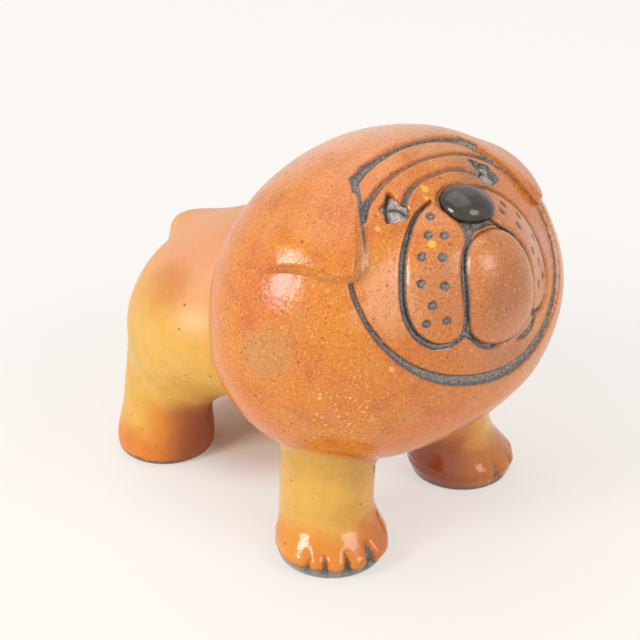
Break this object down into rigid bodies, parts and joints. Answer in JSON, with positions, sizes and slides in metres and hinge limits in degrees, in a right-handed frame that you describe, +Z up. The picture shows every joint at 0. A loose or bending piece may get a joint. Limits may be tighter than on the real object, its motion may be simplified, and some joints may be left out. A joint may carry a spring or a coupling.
{
  "type": "bulldog figurine",
  "caption": "Standing bulldog ornament in glazed stoneware: a broad ball head with an incised face, drop ears and a black nose, a short trunk, stout legs and a stub tail.",
  "frame": {"origin": "middle of the box around the figurine, on the surface it stands on", "axes": "+Z up, the dog faces -Y, its own left side is +X"},
  "size_m": [0.072, 0.0912, 0.0757],
  "materials": {
    "head_glaze": "speckled orange stoneware glaze, semi-gloss",
    "trunk_glaze": "orange stoneware glaze breaking to ochre low down, semi-gloss",
    "leg_glaze": "ochre stoneware glaze going red-brown at the paws, gloss",
    "nose_glaze": "black gloss glaze",
    "eye_glaze": "dark oxide in the stamped eye"
  },
  "bodies": {
    "root": {"head_shell": "head_glaze", "right_ear": "head_glaze", "left_ear": "head_glaze", "right_jowl": "head_glaze", "left_jowl": "head_glaze", "chin_boss": "head_glaze", "nose": "nose_glaze", "right_eye": "eye_glaze", "left_eye": "eye_glaze", "trunk_shell": "trunk_glaze", "tail": "trunk_glaze", "front_right_leg": "leg_glaze", "front_left_leg": "leg_glaze", "rear_right_leg": "leg_glaze", "rear_left_leg": "leg_glaze"}
  },
  "joints": []
}
